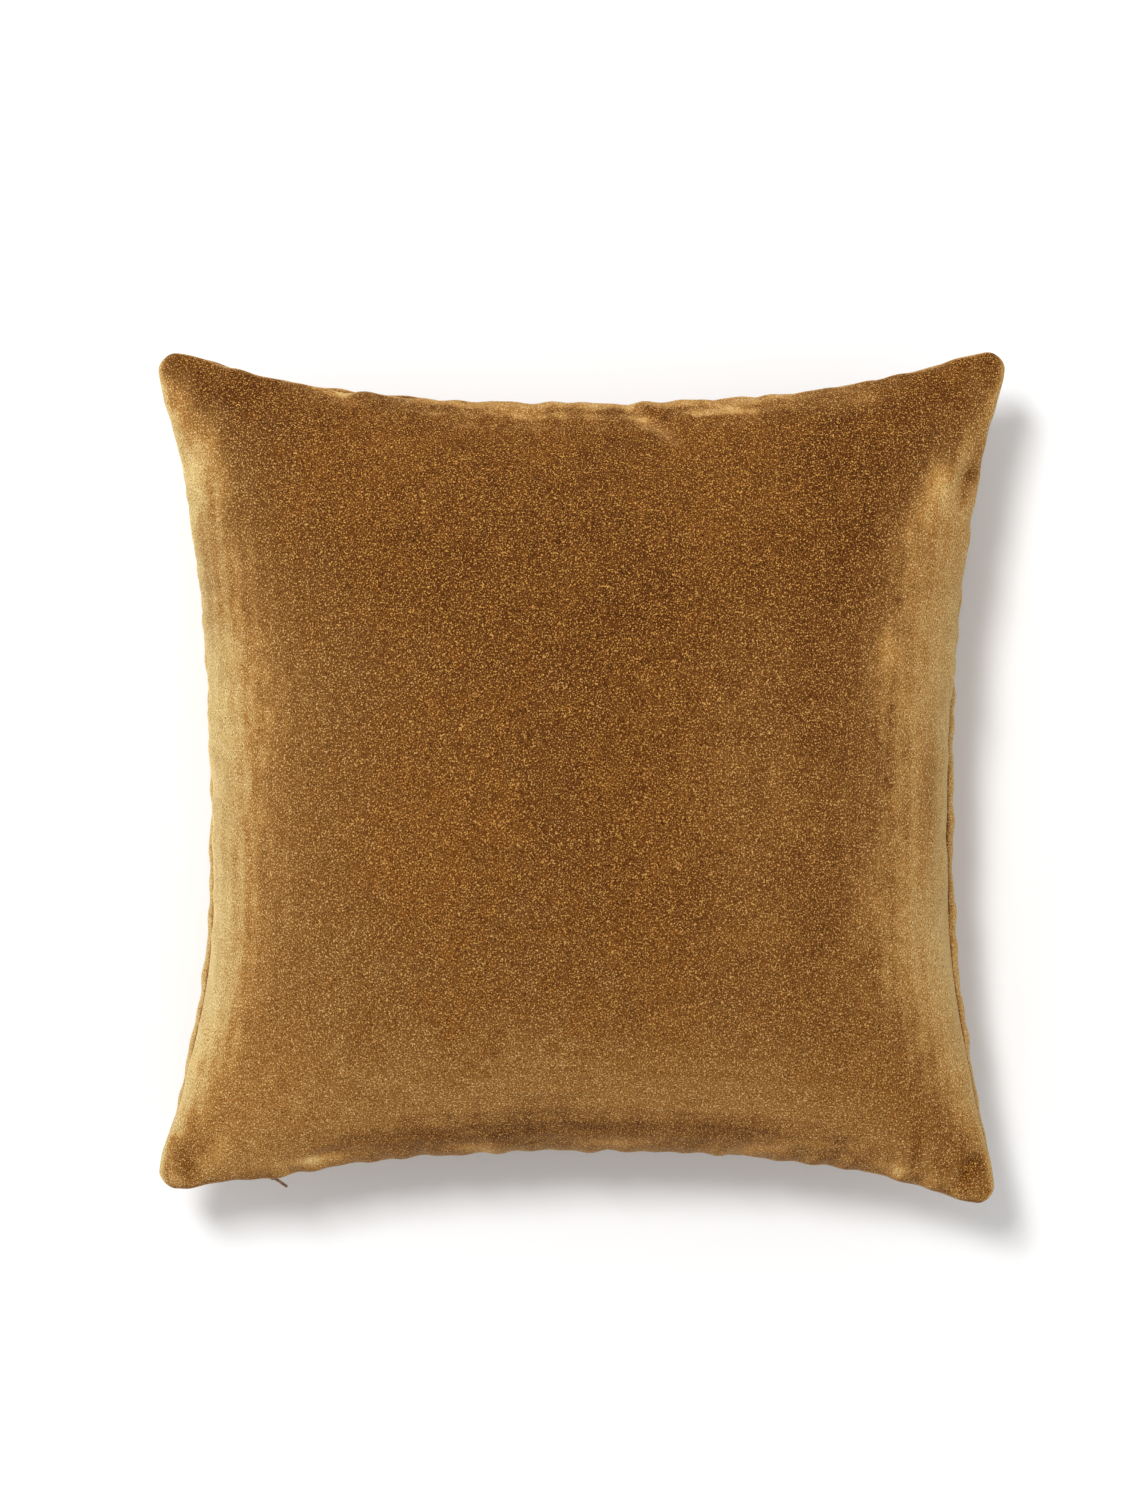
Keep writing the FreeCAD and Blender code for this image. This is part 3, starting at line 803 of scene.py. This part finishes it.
def velvet(name):
    """Short golden pile: soft clouds, streaks along the nap and fine flecks, with painted sheen where the
    cloth turns toward the seam, painted shade on the side that faces the light, and painted highlights and
    shade from the patches kept on the points.
    """
    m = Nodes(name)
    pattern = {part: m.noise(m.scaled(*stretch), *rest) for part, (stretch, *rest) in PILE.items()}
    shade = m.total(*((pattern[part], share) for part, share in PILE_SHADE.items()))
    unrest = m.total(*(
        (m.math("SUBTRACT", pattern[part], 0.5), share) for part, share in PILE_UNREST.items()
    ))
    facing = m.tree.nodes.new("ShaderNodeSeparateXYZ")
    m.link(m.facing, facing.inputs[0])
    toward_x = m.math("ADD", facing.outputs["X"], unrest)
    toward_y = m.math("ADD", facing.outputs["Y"], unrest)
    # painted highlights and painted shade, kept on the front's points
    painted_patch_light = m.attribute("painted_patch_light")
    # painted sheen, by the way the cloth faces
    sheen_paint = painted_sheen_share(m, toward_x, toward_y, painted_patch_light)

    colour = m.colours(m.between(shade, *LIGHT_FROM_TO), PILE_DARK, PILE_LIGHT)
    # painted shade on the side that faces the light
    colour = m.colours(m.between(toward_y, *TOP_SHADE_FROM_TO), colour, PAINTED_TOP_SHADE, "MULTIPLY")
    # painted sheen: a warm and then a pale colour where the cloth turns toward the seam
    colour = m.colours(m.between(sheen_paint, *WARM_SHEEN_FROM_TO), colour, PAINTED_SHEEN_WARM)
    colour = m.colours(m.between(sheen_paint, *PALE_SHEEN_FROM_TO), colour, PAINTED_SHEEN_PALE)
    # painted highlights and painted shade of the patches, multiplied into the colour
    lighter = m.math("ADD", m.math("MULTIPLY", painted_patch_light, PAINTED_PATCH_GAIN), 1.0)
    colour = m.colours(1.0, colour, lighter, "MULTIPLY")
    pale = m.between(pattern["flecks"], *FLECK_FROM_TO)
    dark = m.between(pattern["flecks"], *SPECK_FROM_TO)
    # flecks and specks, paler within the painted sheen
    colour = m.colours(pale, colour, m.colours(sheen_paint, PILE_FLECK, PAINTED_SHEEN_FLECK))
    colour = m.colours(dark, colour, m.colours(sheen_paint, PILE_SPECK, PAINTED_SHEEN_SPECK))
    m.into("Base Color", colour)
    m.roughness(pattern["grain"], 0.2, 0.72)
    pile = m.math("ADD", pattern["grain"], m.math("MULTIPLY", pattern["blotches"], 0.8))
    m.bump(pile, PILE_RELIEF, 0.6, m.leaning(NAP_LEAN))
    m.set(Sheen_Weight=0.8, Sheen_Roughness=0.20, Sheen_Tint=SHEEN_GOLD, Specular_IOR_Level=0.08)
    return m.material


# ================================================================ lining, filling, threads and zipper

LINING_CELLS = 96
LINING_CROWDING = 0.5
INSERT_SHARE = (0.936, 0.955)       # insert, as a share of the cover, seen from above and in height
FILLING_SHARE = (0.922, 0.935)
INSERT_CLOTH = 0.0006


def lining_grid(sim, side, share):
    """A smaller copy of one half of the cover, for what lies inside it."""
    grid = raised_to_crown(resample(sim, fine_steps(LINING_CELLS, LINING_CROWDING)))
    if side < 0:
        grid[..., 2] = lie_flat(grid[..., 2])
    grid = shifted(grid)
    grid[..., :2] *= share[0]
    grid[..., 2] = SEAM_Z + (grid[..., 2] - SEAM_Z) * share[1]
    return grid


def insert_half(name, sim, side):
    """Half of the insert's case, of plain cloth."""
    outer = lining_grid(sim, side, INSERT_SHARE)
    outer[..., 2] += side * SEAM_GAP
    inner = outer - grid_normals(outer, side) * INSERT_CLOTH
    lift = np.maximum(side * (inner[..., 2] - SEAM_Z), SEAM_GAP)
    inner[..., 2] = SEAM_Z + side * lift
    return closed_cloth(name, outer, inner, side)


def stuffed(name, front_grid, back_grid):
    """One closed form from two grids that share their rim."""
    upper, lower = shared_rim(len(front_grid))
    faces = np.concatenate([grid_faces(upper, True), grid_faces(lower, False)])
    return new_object(name, joined(front_grid, back_grid), faces.tolist())


def tube(name, path, radius, around=6, closed=False):
    """A thread or wire along a path."""
    if closed:
        ahead = np.roll(path, -1, axis=0) - np.roll(path, 1, axis=0)
    else:
        ahead = np.gradient(path, axis=0)
    ahead = unit(ahead)
    side = unit(np.cross(ahead, (0.0, 0.0, 1.0)))[:, None]
    up = np.cross(side, ahead[:, None])
    turn = np.linspace(0, 2 * math.pi, around, endpoint=False)[None, :, None]
    return swept(name, path[:, None] + radius * (np.cos(turn) * side + np.sin(turn) * up), closed)


def swept(name, rings, closed=False):
    """Skin over rings of points, with flat ends if it is open."""
    count, around = rings.shape[:2]
    index = np.arange(count * around).reshape(count, around)
    following = np.roll(index, -1, axis=0) if closed else index[1:]
    here = index if closed else index[:-1]
    quads = np.stack([here, np.roll(here, -1, 1), np.roll(following, -1, 1), following], -1)
    faces = quads.reshape(-1, 4).tolist()
    if not closed:
        faces += [index[0][::-1].tolist(), index[-1].tolist()]
    return new_object(name, rings, faces)


STITCH_LONG = 0.003
STITCH_WAVE = 0.00022        # over and under the cloth
SEAM_POINTS = 500            # along a side


def seam_loop(share, inset):
    """The seam line, evenly spaced, some way inside the seam of the cover or of what lies in it."""
    sides = seam_sides(SEAM_POINTS)
    there = [sides["bottom"][:-1], sides["right"][:-1]]
    back_again = [sides["top"][:0:-1], sides["left"][:0:-1]]
    loop = np.concatenate(there + back_again)
    ahead = np.roll(loop, -1, axis=0) - np.roll(loop, 1, axis=0)
    loop = loop + unit(np.stack([-ahead[:, 1], ahead[:, 0]], 1)) * inset
    flat = np.concatenate([loop, np.full((len(loop), 1), SEAM_Z)], 1)
    moved = shifted(flat)
    moved[:, :2] *= share
    return moved


def stitched(path):
    """The same path, going over and under the cloth at each stitch."""
    wave = path.copy()
    wave[:, 2] += STITCH_WAVE * np.sin(2 * math.pi * run_lengths(path) / STITCH_LONG)
    return wave


def on_zipper(along, inward, up):
    """A point beside the zipper's arc: the way along it, and how far inside and above it."""
    turn = np.asarray(along) / SIDE_RADIUS
    reach = SIDE_RADIUS + np.asarray(inward)
    x = reach * np.sin(turn)
    y = ZIP_AXIS.y + reach * np.cos(turn)
    z = SEAM_Z + np.asarray(up) + 0 * turn
    return np.stack([x, y, z], -1)


TAPE_LINE = ((0.0025, 0.0009), (0.00345, 0.0048), (0.0065, 0.0106))    # inward and up
TAPE_THICK = 0.0005
TAPE_POINTS = (420, 13)            # along the tape and across it
TAPE_RIPPLE = (0.00006, 0.0026)    # how deep, and how long each wave
COIL_TURN = 0.0013                 # from one loop of the coil to the next
COIL_REACH = (0.0010, 0.0012)      # half of a loop, inward and up
COIL_MIDDLE = (0.00495, 0.0021)
COIL_WIRE = 0.00028
COIL_HALF = 0.1838
COIL_POINTS = 11                   # in each loop
ZIP_STITCHES = (0.00635, 0.00795)  # inward and up
ZIP_STITCH_HALF = 0.19
ZIP_STITCH_POINTS = 1200
LABEL_THICK = 0.0003
LABEL_POINTS = 31
LABEL_RIPPLE = (0.00012, 900)      # how deep, and how fast it turns along X


def zipper_tape(name, side):
    """A woven tape, bent over at the seam, with the ripple that the coil's stitches draw in it."""
    points_along, points_across = TAPE_POINTS
    depth, wave = TAPE_RIPPLE
    share = np.linspace(0, 2, points_across)
    line = np.stack([np.interp(share, (0, 1, 2), way) for way in zip(*TAPE_LINE)], 1)
    profile = np.concatenate([line, (line + [TAPE_THICK, 0])[::-1]])
    along = np.linspace(-ZIP_HALF, ZIP_HALF, points_along)[:, None]
    ripple = depth * np.sin(2 * math.pi * along / wave)
    rings = on_zipper(along, profile[None, :, 0] + ripple, side * profile[None, :, 1])
    return swept(name, rings if side > 0 else rings[:, ::-1])


def zipper_coil(name, side):
    """A spiral of nylon wire. The slider's neck passes between the two halves."""
    turns = 2 * COIL_HALF / COIL_TURN
    phase = np.linspace(0, 2 * math.pi * turns, int(turns * COIL_POINTS))
    ahead = 0 if side > 0 else COIL_TURN / 2
    along = -COIL_HALF + phase * COIL_TURN / (2 * math.pi) + ahead
    inward = COIL_MIDDLE[0] + COIL_REACH[0] * np.cos(phase)
    up = side * (COIL_MIDDLE[1] + COIL_REACH[1] * np.sin(phase))
    path = on_zipper(along, inward, up)
    return tube(name, path, COIL_WIRE, 5)


def between_layers(name, node, sim, side, share):
    """A label that lies on the cloth inside the cover, over the place of its CAD node."""
    low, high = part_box(node)
    under = lining_grid(sim, side, share)
    quads = grid_faces(shared_rim(len(under))[0], True)
    tree = BVHTree.FromPolygons(under.reshape(-1, 3).tolist(), quads.tolist())
    ways = (np.linspace(low[axis], high[axis], LABEL_POINTS) for axis in (0, 1))
    x, y = np.meshgrid(*ways, indexing="ij")
    points = np.stack([x, y, np.full_like(x, 1.0)], -1)
    for place in np.ndindex(x.shape):
        points[place] = tree.ray_cast(Vector(points[place]), Vector((0, 0, -1)))[0]
    normal = grid_normals(points, side)
    depth, speed = LABEL_RIPPLE
    ripple = depth * np.sin(points[..., 0] * speed)[..., None]
    top = points + normal * (LABEL_THICK + ripple)
    return closed_cloth(name, top, points + normal * ripple, side)


# ================================================================ more materials

OCHRE = (0.20, 0.085, 0.014)
THREAD_OCHRE = (0.24, 0.105, 0.020)
THREAD_WHITE = (0.75, 0.74, 0.70)
COIL_OCHRE = (0.17, 0.075, 0.014)
COTTON_WHITE = (0.80, 0.78, 0.72)
SATIN_WHITE = (0.86, 0.85, 0.82)
FIBRE_WHITE = (0.90, 0.89, 0.87)
FIBRE_SHADOW = (0.66, 0.65, 0.62)
ZIPPER_PLATING = ((0.085, 0.060, 0.040), (0.30, 0.17, 0.085))      # whole and worn
PULL_PLATING = ((0.150, 0.085, 0.050), (0.60, 0.34, 0.19))


def thread(name, colour):
    """Spun polyester: fine slanting plies."""
    m = Nodes(name)
    plies = m.tree.nodes.new("ShaderNodeTexWave")
    plies.wave_type = "BANDS"
    plies.bands_direction = "DIAGONAL"
    plies.inputs["Scale"].default_value = 900
    plies.inputs["Distortion"].default_value = 1.5
    m.link(m.place, plies.inputs["Vector"])
    fuzz = m.noise(m.place, 3000, 2)
    m.shade(m.total((plies.outputs["Fac"], 0.6), (fuzz, 0.4)), colour, 0.55)
    m.roughness(fuzz, 0.3, 0.45)
    m.bump(plies.outputs["Fac"], 0.0001)
    m.set(Sheen_Weight=0.3)
    return m.material


def woven(name, colour, shine, scale, slub=0.25):
    """Plain weave: threads over and under each other, with thick and thin places."""
    m = Nodes(name)
    waves = []
    for direction in ("X", "Y"):
        wave = m.tree.nodes.new("ShaderNodeTexWave")
        wave.wave_type = "BANDS"
        wave.bands_direction = direction
        wave.inputs["Scale"].default_value = scale
        wave.inputs["Distortion"].default_value = 0.6
        wave.inputs["Detail Scale"].default_value = 3
        m.link(m.place, wave.inputs["Vector"])
        waves.append(wave.outputs["Fac"])
    weave = m.math("MULTIPLY", waves[0], waves[1])
    slubs = m.noise(m.scaled(1, 0.1, 1), scale * 0.8, 3)
    m.shade(m.total((weave, 0.6), (slubs, slub * 2)), colour, 0.72)
    m.roughness(slubs, 0.25, 0.85 - shine)
    m.bump(weave, 0.00012, 0.7)
    m.set(Sheen_Weight=0.25, Sheen_Roughness=0.5)
    return m.material


def fibre(name):
    """Tangled white fibres in tufts."""
    m = Nodes(name)
    tufts = m.noise(m.place, 28, 4, 0.6)
    strands = m.noise(m.scaled(1, 0.3, 1), 420, 5, 0.75)
    shade = m.total((tufts, 0.6), (strands, 0.5))
    m.into("Base Color", m.colours(m.between(shade, 0.3, 0.8), FIBRE_SHADOW, FIBRE_WHITE))
    m.roughness(strands, 0.2, 0.75)
    m.bump(shade, 0.003, 0.8)
    m.set(Sheen_Weight=0.4)
    return m.material


def metal(name, colour, worn, rough):
    """Plated metal with brushing marks, and a warmer tone where the plating has worn."""
    m = Nodes(name)
    wear = m.noise(m.place, 260, 4, 0.65)
    marks = m.noise(m.scaled(0.15, 1, 1), 2600, 3, 0.6)
    shade = m.total((wear, 0.8), (marks, 0.2))
    m.into("Base Color", m.colours(m.between(shade, 0.48, 0.70), colour, worn))
    m.roughness(marks, 0.25, rough)
    m.bump(marks, 0.00003, 0.5)
    m.set(Metallic=1.0)
    return m.material


def nylon(name, colour):
    """Smooth, slightly uneven plastic wire."""
    m = Nodes(name)
    cloud = m.noise(m.place, 900, 2)
    m.shade(cloud, colour, 0.75)
    m.roughness(cloud, 0.15, 0.28)
    m.bump(cloud, 0.00002, 0.4)
    m.set(Specular_IOR_Level=0.5)
    return m.material


# ================================================================ the pieces

def finish(piece, body, slot, material, *nodes):
    """Give a piece its material, and let it stand for CAD nodes on a body. slot is not used."""
    piece.data.materials.clear()
    piece.data.materials.append(material)
    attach(piece, body)
    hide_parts(*nodes)
    return piece


UNDER_CARE_TAG = (0.965, 0.982)       # where they lie, as shares of the cover
UNDER_INSERT_TAG = (0.950, 0.968)
SEAM_INSET = 0.0029
LINING_INSET = 0.0015
SEAM_THREAD = 0.0003                  # radii
LINING_THREAD = 0.00022
ZIP_THREAD = 0.00025


def add_cover(front_sim, back_sim):
    """The two velvet panels."""
    front_layers = cloth_layers(front_sim, 1)
    front = closed_cloth("cover_front", *front_layers, 1)
    # painted highlights and painted shade, kept on the front's points
    store_painted_patches(front, front_layers[0])
    back = closed_cloth("cover_back", *cloth_layers(back_sim, -1), -1)
    finish(front, "cover", "velvet_front", velvet("velvet_front"), "front_panel")
    finish(back, "cover", "velvet_back", velvet("velvet_back"), "back_panel")


def add_insert(front_sim, back_sim):
    """The insert's case and its filling."""
    cotton = woven("insert_cotton", COTTON_WHITE, 0.1, 700)
    for half, sim, side in (("front", front_sim, 1), ("back", back_sim, -1)):
        lining = insert_half(f"ticking_{half}", sim, side)
        finish(lining, "cover", "insert_cotton", cotton, f"insert_{half}")
    upper = lining_grid(front_sim, 1, FILLING_SHARE)
    stuffing = stuffed("stuffing", upper, lining_grid(back_sim, -1, FILLING_SHARE))
    finish(stuffing, "cover", "fibre_filling", fibre("fibre_filling"), "filling")


def add_seams(cover_thread):
    """The stitching of the cover and of the insert."""
    seam = stitched(seam_loop(1.0, SEAM_INSET))
    seam = tube("seam_stitching", seam, SEAM_THREAD, closed=True)
    finish(seam, "cover", "cover_thread", cover_thread, "seam_thread")
    seam = stitched(seam_loop(INSERT_SHARE[0], LINING_INSET))
    seam = tube("ticking_stitching", seam, LINING_THREAD, closed=True)
    white = thread("insert_thread", THREAD_WHITE)
    finish(seam, "cover", "insert_thread", white, "insert_seam_thread")


def add_labels(front_sim, back_sim):
    """Two blank labels, one under the insert and one on it."""
    satin = woven("label_satin", SATIN_WHITE, 0.4, 1600, 0.1)
    care = between_layers("care_tag", "care_label", back_sim, -1, UNDER_CARE_TAG)
    finish(care, "cover", "label_satin", satin, "care_label")
    tag = between_layers("ticking_tag", "insert_label", front_sim, 1, UNDER_INSERT_TAG)
    finish(tag, "cover", "label_satin", satin, "insert_label")


def add_zipper(cover_thread):
    """Tapes, coils and their stitching. Slider, pull and stops are the CAD model's own."""
    tape_cloth = woven("zipper_tape", OCHRE, 0.2, 1500, 0.15)
    coil_nylon = nylon("zipper_coil", COIL_OCHRE)
    along = np.linspace(-ZIP_STITCH_HALF, ZIP_STITCH_HALF, ZIP_STITCH_POINTS)
    inward, up = ZIP_STITCHES
    for half, side in (("front", 1), ("back", -1)):
        tape = zipper_tape(f"tape_{half}", side)
        finish(tape, "cover", "zipper_tape", tape_cloth, f"zipper_tape_{half}")
        coil = zipper_coil(f"coil_{half}", side)
        finish(coil, "cover", "zipper_coil", coil_nylon, f"zipper_coil_{half}")
        stitches = stitched(on_zipper(along, inward, side * up))
        stitches = tube(f"zip_stitching_{half}", stitches, ZIP_THREAD)
        finish(stitches, "cover", "cover_thread", cover_thread, f"tape_stitching_{half}")

    zipper_metal = metal("zipper_metal", *ZIPPER_PLATING, 0.3)
    pull_metal = metal("pull_metal", *PULL_PLATING, 0.28)
    for node, material in (
        ("zipper_top_stop", zipper_metal),
        ("zipper_bottom_stop", zipper_metal),
        ("zipper_slider", zipper_metal),
        ("zipper_pull", pull_metal),
    ):
        solid = bpy.data.objects[node]
        solid.data.materials.clear()
        solid.data.materials.append(material)


halves = inflate()
cover_thread = thread("cover_thread", THREAD_OCHRE)
add_cover(*halves)
add_insert(*halves)
add_seams(cover_thread)
add_labels(*halves)
add_zipper(cover_thread)


# ================================================================ floor, light and camera

FLOOR_REACH = 6.0
PAPER = (0.92, 0.92, 0.92)
PAPER_CLOUD = tuple(0.985 * part for part in PAPER)


def paper(name):
    """Plain matt paper."""
    m = Nodes(name)
    tone = m.noise(m.scaled(1, 1, 1), 3, 2)
    m.into("Base Color", m.colours(tone, PAPER, PAPER_CLOUD))
    m.set(Roughness=0.9, Specular_IOR_Level=0.2)
    return m.material


corners = np.array([(-1, -1, 0), (1, -1, 0), (1, 1, 0), (-1, 1, 0)])
floor = new_object("floor", corners * FLOOR_REACH, [(0, 1, 2, 3)])
floor.data.materials.append(paper("paper"))


def area_light(name, place, size, power):
    """A soft box, size across and up, that faces the middle of the pillow."""
    data = bpy.data.lights.new(name, "AREA")
    data.shape = "RECTANGLE"
    data.size, data.size_y = size
    data.energy = power
    light = bpy.data.objects.new(name, data)
    light.location = place
    light.rotation_euler = (-Vector(place)).to_track_quat("-Z", "Y").to_euler()
    bpy.context.scene.collection.objects.link(light)


KEY_PLACE = (-0.98, 1.26, 3.66)
KEY_SIZE = (0.7, 1.1)
KEY_POWER = 104
ROOM_LIGHT = 0.655

area_light("key", KEY_PLACE, KEY_SIZE, KEY_POWER)
world = bpy.data.worlds.new("studio")
world.use_nodes = True
background = world.node_tree.nodes["Background"]
background.inputs["Color"].default_value = (1, 1, 1, 1)
background.inputs["Strength"].default_value = ROOM_LIGHT
bpy.context.scene.world = world
bpy.context.scene.view_settings.view_transform = "Standard"

VIEW_HEIGHT = 2.6
FRAME_TALL = 0.891            # height of the picture at the seam plane
VIEW_CENTRE = (-0.0104, 0.0160)
lens = bpy.data.cameras.new("camera")
lens.sensor_width = 36
lens.lens = lens.sensor_width * (VIEW_HEIGHT - SEAM_Z) / FRAME_TALL
camera = bpy.data.objects.new("camera", lens)
camera.location = (*VIEW_CENTRE, VIEW_HEIGHT)
bpy.context.scene.collection.objects.link(camera)
bpy.context.scene.camera = camera

bpy.context.view_layer.update()
